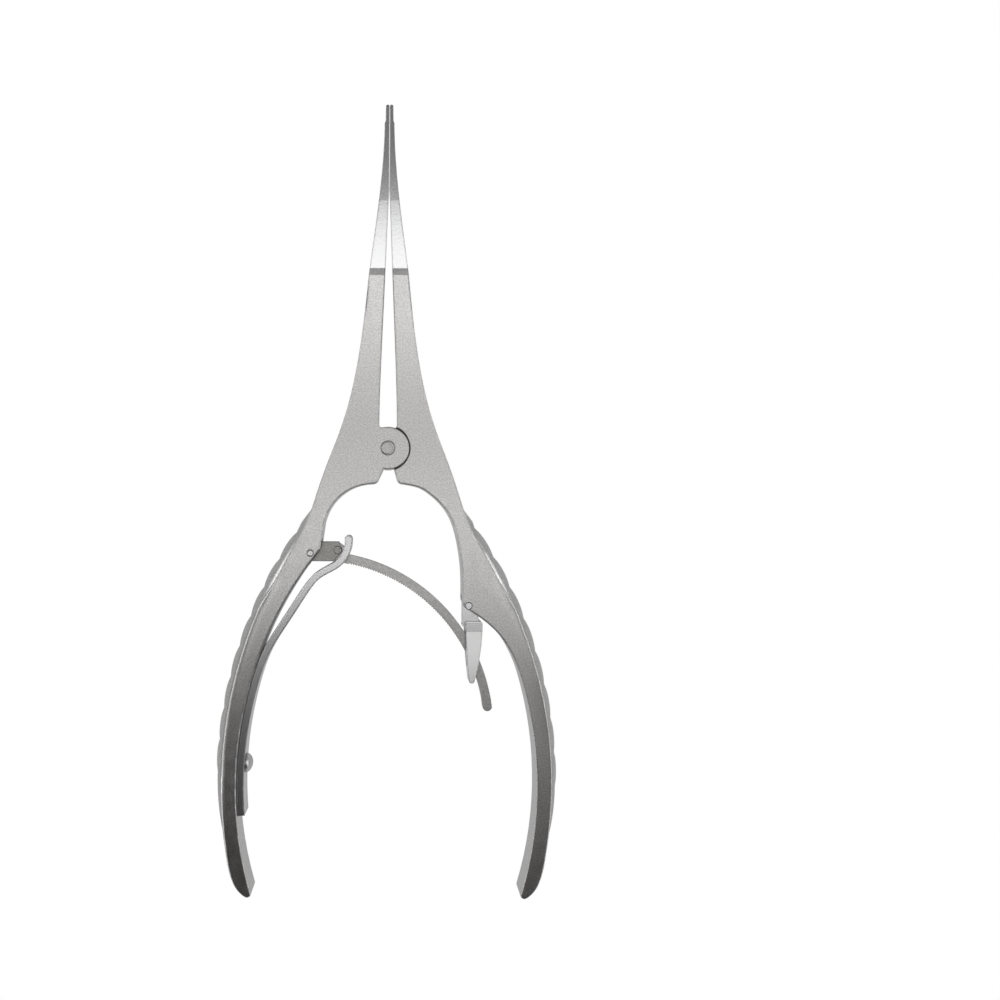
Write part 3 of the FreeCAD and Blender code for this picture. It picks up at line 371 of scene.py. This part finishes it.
EDGE_AND_RIM_SHADE, into, out = new_group(
    "edge_rounding_and_rim_shade",
    [("Normal", VECTOR), ("Rim Shade", FLOAT)],
    [("Radius", FLOAT, 0.2 * MM), ("Darkest Rim", FLOAT, 0.35)],
)
bent = add_node(EDGE_AND_RIM_SHADE, "ShaderNodeBevel", {"Radius": into.outputs["Radius"]}, samples=6)
feed(EDGE_AND_RIM_SHADE, out.inputs["Normal"], bent.outputs["Normal"])
level = upright(EDGE_AND_RIM_SHADE, bent.outputs["Normal"])
# Painted shade: the colour darkens where the bent normal tilts over, down to the darkest rim value.
rim_shade = ramp(EDGE_AND_RIM_SHADE, level, RIM_TILTED, RIM_LEVEL, into.outputs["Darkest Rim"])
sharp = add_node(EDGE_AND_RIM_SHADE, "ShaderNodeNewGeometry").outputs["True Normal"]
flat = ramp(EDGE_AND_RIM_SHADE, upright(EDGE_AND_RIM_SHADE, sharp), FLAT_FROM, FLAT_TO)
feed(EDGE_AND_RIM_SHADE, out.inputs["Rim Shade"], mix(EDGE_AND_RIM_SHADE, flat, 1.0, rim_shade))
print("edges:", len(EDGE_AND_RIM_SHADE.nodes), "nodes")

# %% [markdown]
# ## The rolled outer edge of the handles
# The front face of each handle rolls over softly towards its outer edge, over several millimetres,
# and mirrors the side strips there. A Bevel node of that width is noisy and reaches into every
# nearby pin. The edge is one long smooth arc, so the roll can follow it by rule: the outline is
# first measured on the frame's own mesh, as the reach of the top face at even rows along Y.

# %% Measure the handles
HANDLE_LOW, HANDLE_HIGH = -124 * MM, -12 * MM
STEPS = 16
ROWS = [HANDLE_LOW + (HANDLE_HIGH - HANDLE_LOW) * i / STEPS for i in range(STEPS + 1)]
TOP_SLACK = 0.02 * MM


def outer_edge(node_name):
    """How far the top face reaches from the middle line, at each row."""
    mesh = nodes[node_name].data
    reach = [0.0] * len(ROWS)
    for edge in mesh.edges:
        a, b = (mesh.vertices[i].co for i in edge.vertices)
        if min(a.z, b.z) < FACE - TOP_SLACK:
            continue
        for i, row in enumerate(ROWS):
            if (a.y - row) * (b.y - row) <= 0 and a.y != b.y:
                across = a.x + (b.x - a.x) * (row - a.y) / (b.y - a.y)
                reach[i] = max(reach[i], abs(across))
    return reach


REACH = {name: outer_edge(name) for name in ("left_arm", "right_arm")}
for name, reach in REACH.items():
    print(name, "reaches, mm:", [round(r / MM, 1) for r in reach])

# %% [markdown]
# ## From the outline to the roll
# A Float Curve node holds the measured reach, so that at any point of the handle the distance to
# the edge is one subtraction. The closer to the edge, the more the normal leans outwards, and also
# along the handle, because the arc turns. Three masks keep the roll where the real one is: on the
# top face, below the shoulder, and fading out towards the handle's end.

# %% Distance to the edge
SPAN = 60 * MM


def edge_distance(tree, place, reach):
    """The distance from a point to the handle's outer edge."""
    along = ramp(tree, place["Y"], HANDLE_LOW, HANDLE_HIGH)
    outline = add_node(tree, "ShaderNodeFloatCurve", {"Value": along})
    points = outline.mapping.curves[0].points
    points[0].location = (0.0, reach[0] / SPAN)
    points[1].location = (1.0, reach[STEPS] / SPAN)
    for i in range(1, STEPS):
        points.new(i / STEPS, reach[i] / SPAN)
    outline.mapping.update()
    edge = calc(tree, "MULTIPLY", outline.outputs["Value"], SPAN)
    return calc(tree, "SUBTRACT", edge, calc(tree, "ABSOLUTE", place["X"]))


print("outline: a point every", round((HANDLE_HIGH - HANDLE_LOW) / STEPS / MM, 1), "mm")

# %% Roll
GRIP_STARTS = (-36 * MM, -45 * MM)
TOP_FACE = (9.4 * MM, 9.8 * MM)
ARC_TURNS = (-120 * MM, -20 * MM, -0.25, 0.5)


def rolled_edge(node_name, fade):
    """The roll of one handle's outer edge, laid over a finer normal."""
    tree, into, out = new_group(
        "pillowed_" + node_name,
        [("Normal", VECTOR)],
        [("Width", FLOAT, 2 * MM), ("Lean", FLOAT, 0.5), ("Normal", VECTOR, NO_NORMAL)],
    )
    place = object_place(tree)
    inside = edge_distance(tree, place, REACH[node_name])
    share = calc(tree, "DIVIDE", inside, into.outputs["Width"])
    near = ramp(tree, calc(tree, "SUBTRACT", 1.0, share), 0.0, 1.0)
    mask = calc(tree, "POWER", near, 2.0)
    for key, limits in (("Y", GRIP_STARTS), ("Y", fade), ("Z", TOP_FACE)):
        mask = calc(tree, "MULTIPLY", mask, ramp(tree, place[key], *limits))
    lean = calc(tree, "MULTIPLY", mask, into.outputs["Lean"])
    across = calc(tree, "MULTIPLY", lean, calc(tree, "SIGN", place["X"]))
    onward = calc(tree, "MULTIPLY", lean, ramp(tree, place["Y"], *ARC_TURNS))
    outward = add_node(tree, "ShaderNodeCombineXYZ", {"X": across, "Y": onward})
    leaning = add_node(
        tree,
        "ShaderNodeVectorMath",
        {0: into.outputs["Normal"], 1: outward.outputs["Vector"]},
        operation="ADD",
    )
    unit = add_node(
        tree, "ShaderNodeVectorMath", {0: leaning.outputs["Vector"]}, operation="NORMALIZE"
    )
    feed(tree, out.inputs["Normal"], unit.outputs["Vector"])
    return tree


FADES = {"left_arm": (-125 * MM, -95 * MM), "right_arm": (-85 * MM, -55 * MM)}
ROLLED = {name: rolled_edge(name, fade) for name, fade in FADES.items()}
print("groups:", [g.name for g in bpy.data.node_groups])

# %% [markdown]
# ## Satin steel
# This is the finish of the arms, the toothed bar, the block and the riveted pins. A grey metal
# alone would look like plastic foil. Here the grain gives the roughness and the fine normal, and
# the colour is multiplied by three masks: the grain's tint, and the painted shade of the seams and
# of the rims. Each piece sets how rough, how dented and how rounded it is.

# %% Masks on a colour


def add_group(tree, group, inputs=()):
    """A group placed in a material, with its own amounts."""
    return add_node(tree, "ShaderNodeGroup", inputs, node_tree=group)


def tinted(tree, colour, masks):
    """A colour multiplied by each mask in turn."""
    value = (*colour, 1.0)
    for mask in masks:
        value = mix(tree, 1.0, value, mask, kind="RGBA", way="MULTIPLY")
    return value


print("helpers: add_group, tinted")

# %% Satin
# How dark the painted rim shade gets, and how far the painted shade in the seams reaches.
USUAL_RIM_SHADE = 0.35
USUAL_GAP = 0.4 * MM


def satin(name, colour, roughness, relief, edge, rim_shade=USUAL_RIM_SHADE, gap=USUAL_GAP, roll=None):
    """Blasted steel with painted shade in its seams and on its rims, and rounded edges; roll is a
    group, its width and its lean.
    """
    material, tree, shader, _ = new_material(name, {"Metallic": 1.0})
    painted_seam_shade = add_group(tree, PAINTED_SEAM_SHADE, {"Reach": gap})
    rounding = add_group(tree, EDGE_AND_RIM_SHADE, {"Radius": edge, "Darkest Rim": rim_shade})
    normal = rounding.outputs["Normal"]
    if roll:
        group, width, lean = roll
        amounts = {"Width": width, "Lean": lean, "Normal": normal}
        normal = add_group(tree, group, amounts).outputs["Normal"]
    amounts = {"Roughness": roughness, "Relief": relief, "Normal": normal}
    grain = add_group(tree, BLASTED, amounts)
    # Painted shade: the seams and the rims darken the colour, besides the grain's tint.
    masks = (grain.outputs["Tint"], painted_seam_shade.outputs["Shade"], rounding.outputs["Rim Shade"])
    feed(tree, shader.inputs["Base Color"], tinted(tree, colour, masks))
    feed(tree, shader.inputs["Roughness"], grain.outputs["Roughness"])
    feed(tree, shader.inputs["Normal"], grain.outputs["Normal"])
    return material


print("satin: crest", USUAL_RIM_SHADE, "and seams within", USUAL_GAP / MM, "mm, unless a piece differs")

# %% [markdown]
# ## How satin each small piece is
# The block and its rivet are the darkest, and the toothed bar is a little brighter. The end of the
# block's pin is nearly bright. The main pin lies between them, and the wide reach of its painted
# shade in the gap draws the dark ring round the disc. One shared grey would be quicker, but the
# pieces would melt into the arms where they overlap, so each keeps its own.

# %% Satin pieces
DULL = satin("dull_steel", (0.33, 0.325, 0.31), roughness=0.34, relief=0.25, edge=0.25 * MM)
BAR = satin("bar_steel", (0.50, 0.495, 0.49), roughness=0.34, relief=0.2, edge=0.30 * MM)
COLLAR = satin(
    "collar_steel",
    (0.62, 0.615, 0.61),
    roughness=0.26,
    relief=0.2,
    edge=0.4 * MM,
    rim_shade=0.3,
    gap=0.6 * MM,
)
PIN = satin(
    "pin_steel",
    (0.50, 0.495, 0.49),
    roughness=0.30,
    relief=0.2,
    edge=0.3 * MM,
    rim_shade=0.3,
    gap=0.8 * MM,
)
print("satin:", [m.name for m in (DULL, BAR, COLLAR, PIN)])

# %% [markdown]
# ## The arms: satin handles, mirror jaws
# Each arm is one piece of steel, blasted up to the shoulder and polished from there to the tip. Two
# materials would need the mesh to be cut at the shoulder. One material can hold both, because the
# border is a straight line across the arm: a narrow ramp on Y swaps the satin's roughness and
# colour for those of the mirror.

# %% Arms
ARM_GREY = (0.58, 0.575, 0.57)
JAW_GREY = (0.455, 0.455, 0.46, 1.0)
JAW_ROUGHNESS = 0.15
POLISHED_FROM = (51.9 * MM, 52.3 * MM)


def arm_steel(arm, width, lean):
    """Satin below the shoulder, mirror above it."""
    roll = (ROLLED[arm], width, lean)
    material = satin(
        arm + "_steel", ARM_GREY, roughness=0.30, relief=0.4, edge=0.55 * MM, roll=roll
    )
    tree = material.node_tree
    shader = tree.nodes["Principled BSDF"]
    jaw = ramp(tree, object_place(tree)["Y"], *POLISHED_FROM)
    mirror = (("Roughness", JAW_ROUGHNESS, "FLOAT"), ("Base Color", JAW_GREY, "RGBA"))
    for label, value, kind in mirror:
        blasted = shader.inputs[label].links[0].from_socket
        feed(tree, shader.inputs[label], mix(tree, jaw, blasted, value, kind=kind))
    return material


LEFT = arm_steel("left_arm", width=3.2 * MM, lean=0.42)
RIGHT = arm_steel("right_arm", width=4.8 * MM, lean=0.26)
print("arms:", LEFT.name, "and", RIGHT.name)

# %% [markdown]
# ## Bright steel
# The springs, the lever and its pin are bright steel with no grain. Perfect mirrors would show the
# edges of the panes as hard steps, so the roughness stays at 0.2 and above, as on steel that has
# been brushed and handled. The painted shade of seams and rims comes from the same groups as on
# the satin.

# %% Bright


def polished(name, colour, roughness, edge, rim_shade=0.4):
    """Bright steel with painted shade in its seams and on its rims, and rounded edges."""
    material, tree, shader, _ = new_material(name, {"Metallic": 1.0, "Roughness": roughness})
    painted_seam_shade = add_group(tree, PAINTED_SEAM_SHADE)
    rounding = add_group(tree, EDGE_AND_RIM_SHADE, {"Radius": edge, "Darkest Rim": rim_shade})
    # Painted shade: the seams and the rims darken the colour.
    masks = (painted_seam_shade.outputs["Shade"], rounding.outputs["Rim Shade"])
    feed(tree, shader.inputs["Base Color"], tinted(tree, colour, masks))
    feed(tree, shader.inputs["Normal"], rounding.outputs["Normal"])
    return material


BRIGHT = polished("bright_steel", (0.68, 0.68, 0.69), roughness=0.20, edge=0.3 * MM)
LEVER = polished("lever_steel", (0.74, 0.74, 0.74), roughness=0.20, edge=0.3 * MM)
SPRING = polished(
    "spring_steel", (0.54, 0.54, 0.54), roughness=0.27, edge=0.6 * MM, rim_shade=0.25
)
print("bright:", [m.name for m in (BRIGHT, LEVER, SPRING)])

# %% [markdown]
# ## Dress the pieces
# Each piece of the frame gets its finish; the table also lists the record's slot that each finish
# stands for. The pieces could be dressed one by one, but a table shows at a glance which of them
# share a steel.

# %% Dress
FINISHES = [  # finish, slot, pieces
    (LEFT, "satin_steel", ["left_arm"]),
    (RIGHT, "satin_steel", ["right_arm"]),
    (PIN, "satin_steel", ["pivot_pin"]),
    (COLLAR, "polished_steel", ["head_pin"]),
    (DULL, "dull_steel", ["ratchet_head", "bar_rivet"]),
    (BAR, "dull_steel", ["ratchet_bar"]),
    (BRIGHT, "polished_steel", ["lever_pin"]),
    (LEVER, "polished_steel", ["release_lever"]),
    (SPRING, "polished_steel", ["leaf_spring", "spring_screw", "lever_spring"]),
]
for finish, slot, names in FINISHES:
    for name in names:
        materials = nodes[name].data.materials
        materials.clear()
        materials.append(finish)
print("dressed:", sum(len(names) for _, _, names in FINISHES), "pieces")

# %% [markdown]
# ## The hairpin behind the lever
# A small hairpin of flat steel pushes the release lever back. Its solid in the frame can't bend,
# so a new piece stands for it. It could be modelled by hand, but a hairpin follows a rule: one
# flat strip swept along a path. Geometry Nodes make that strip, with its sizes as inputs, and round
# its long edges with a small fillet on the profile.

# %% Swept strip
STRIP, into, out = new_group(
    "swept_strip",
    [("Geometry", GEOMETRY)],
    [
        ("Geometry", GEOMETRY, None),
        ("Thickness", FLOAT, 0.45 * MM),
        ("Depth", FLOAT, 4 * MM),
        ("Rounding", FLOAT, 0.12 * MM),
        ("Material", "NodeSocketMaterial", None),
    ],
    kind="GeometryNodeTree",
)
given = into.outputs
path = add_node(STRIP, "GeometryNodeMeshToCurve", {"Mesh": given["Geometry"]})
standing = add_node(
    STRIP, "GeometryNodeSetCurveNormal", {"Curve": path.outputs["Curve"]}, mode="Z_UP"
)
profile = add_node(
    STRIP,
    "GeometryNodeCurvePrimitiveQuadrilateral",
    {"Width": given["Thickness"], "Height": given["Depth"]},
)
fillet = {"Curve": profile.outputs["Curve"], "Radius": given["Rounding"], "Count": 3}
softened = add_node(STRIP, "GeometryNodeFilletCurve", fillet, mode="POLY")
rail = {
    "Curve": standing.outputs["Curve"],
    "Profile Curve": softened.outputs["Curve"],
    "Fill Caps": True,
}
swept = add_node(STRIP, "GeometryNodeCurveToMesh", rail)
real = add_node(STRIP, "GeometryNodeRealizeInstances", {"Geometry": swept.outputs["Mesh"]})
last = add_node(
    STRIP,
    "GeometryNodeSetMaterial",
    {"Geometry": real.outputs["Geometry"], "Material": given["Material"]},
)
feed(STRIP, out.inputs["Geometry"], last.outputs["Geometry"])
print("strip:", len(STRIP.nodes), "nodes")

# %% [markdown]
# ## The hairpin's path
# The spring has a long leg against the slot's wall, half a turn at the top and a short leg behind
# the lever. The path is measured from the solid that it stands for, so both fill the same place.
# The half turn is a run of short steps, fine enough to look round at this size.

# %% Path
HAIRPIN_THICK = 0.45 * MM
HAIRPIN_DEPTH = 4.0 * MM
SHORT_LEG_UP = 4.0 * MM
TURN_STEPS, LONG_STEPS, SHORT_STEPS = 16, 6, 4
low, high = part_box("lever_spring")
right = high.x - HAIRPIN_THICK / 2
left = low.x + HAIRPIN_THICK / 2
middle, bend = (left + right) / 2, (right - left) / 2
top = high.y - HAIRPIN_THICK / 2 - bend
short = low.y + SHORT_LEG_UP
height = (low.z + high.z) / 2

turn = [math.pi * i / TURN_STEPS for i in range(TURN_STEPS + 1)]
arch = [(middle + bend * math.cos(a), top + bend * math.sin(a), height) for a in turn]
long_leg = [
    (right, low.y + (top - low.y) * i / LONG_STEPS, height) for i in range(LONG_STEPS)
]
short_leg = [
    (left, top - (top - short) * i / SHORT_STEPS, height) for i in range(1, SHORT_STEPS + 1)
]
print("hairpin: bend of", round(bend / MM, 2), "mm,", len(long_leg + arch + short_leg), "points")

# %% [markdown]
# ## Sweep it
# The modifier's inputs are set by each socket's identifier, and the result is turned into a plain
# mesh. The frame's solid of the hairpin is then hidden.


def swept_strip(name, points, sizes):
    """A strip of steel along the points, as plain mesh."""
    line = bpy.data.meshes.new(name)
    line.from_pydata(points, [(i, i + 1) for i in range(len(points) - 1)], [])
    made = bpy.data.objects.new(name, line)
    scene.collection.objects.link(made)
    sweep = made.modifiers.new("strip", "NODES")
    sweep.node_group = STRIP
    for socket in STRIP.interface.items_tree:
        if socket.in_out == "INPUT" and socket.name in sizes:
            sweep[socket.identifier] = sizes[socket.name]
    made.update_tag()
    bpy.context.view_layer.update()
    shown = made.evaluated_get(bpy.context.evaluated_depsgraph_get())
    strip = bpy.data.meshes.new_from_object(shown)
    made.modifiers.clear()
    made.data = strip
    return made


hairpin = swept_strip(
    "hairpin",
    long_leg + arch + short_leg,
    {
        "Thickness": HAIRPIN_THICK,
        "Depth": HAIRPIN_DEPTH,
        "Rounding": 0.1 * MM,
        "Material": SPRING,
    },
)
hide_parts("lever_spring")
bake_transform(hairpin)
print("hairpin:", len(hairpin.data.polygons), "faces")

# %% [markdown]
# ## The leaf spring
# The leaf lies on the left handle, lifts away from it, forks round the toothed bar and hooks over
# it. Its shape in the frame is right, but a solid can't bend, and its sharp edges would look cut
# from sheet. A copy of the solid keeps the exact shape. Its loose triangles are merged and joined
# into clean faces first, so that a Bevel modifier can round the real edges.

# %% Rounded copy
MERGE_WITHIN = 0.002 * MM
SAME_PLANE = math.radians(1.0)
EDGE_ANGLE = math.radians(50)


def rounded_copy(node_name, name, width):
    """A copy of a node's shape with its sharp edges rounded, as plain mesh."""
    made = bpy.data.objects.new(name, nodes[node_name].data.copy())
    scene.collection.objects.link(made)
    shape = bmesh.new()
    shape.from_mesh(made.data)
    bmesh.ops.remove_doubles(shape, verts=shape.verts, dist=MERGE_WITHIN)
    bmesh.ops.dissolve_limit(
        shape,
        angle_limit=SAME_PLANE,
        verts=shape.verts,
        edges=shape.edges,
        delimit={"NORMAL"},
    )
    shape.to_mesh(made.data)
    shape.free()
    bevel = made.modifiers.new("rounding", "BEVEL")
    bevel.width = width
    bevel.segments = 3
    bevel.limit_method = "ANGLE"
    bevel.angle_limit = EDGE_ANGLE
    bevel.harden_normals = False
    shown = made.evaluated_get(bpy.context.evaluated_depsgraph_get())
    rounded = bpy.data.meshes.new_from_object(shown)
    made.modifiers.clear()
    made.data = rounded
    made.data.materials.clear()
    made.data.materials.append(SPRING)
    return made


leaf = rounded_copy("leaf_spring", "leaf", 0.3 * MM)
print("leaf:", len(leaf.data.polygons), "faces")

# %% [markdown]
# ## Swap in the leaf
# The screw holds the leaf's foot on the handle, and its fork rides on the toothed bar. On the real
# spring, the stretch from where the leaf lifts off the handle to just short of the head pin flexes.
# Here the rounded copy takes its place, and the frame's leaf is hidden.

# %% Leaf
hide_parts("leaf_spring")
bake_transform(leaf)

# %% [markdown]
# ## The camera
# It hangs close over the instrument and looks straight down, near enough for the inner walls of the
# handles to show. A distant camera with a long lens would hide those walls. The lens follows from
# the distance and the width of the view at the front face. A shift of the lens brings the
# instrument to the left half of the picture without turning the camera, which would tilt it.

# %% Camera
DISTANCE = 0.292
WIDTH = 0.28886
SENSOR = 36.0
TURN = 0.00524
eye = bpy.data.cameras.new("camera")
eye.sensor_width = SENSOR
eye.lens = SENSOR * DISTANCE / WIDTH
eye.shift_x = 0.1113
eye.dof.use_dof = False
camera = bpy.data.objects.new("camera", eye)
camera.location = (0.3 * MM, -15 * MM, FACE + DISTANCE)
camera.rotation_euler = (0, 0, TURN)
scene.collection.objects.link(camera)
scene.camera = camera
scene.view_settings.view_transform = "Standard"
scene.view_settings.look = "None"
print("camera at", [round(c, 4) for c in camera.location])
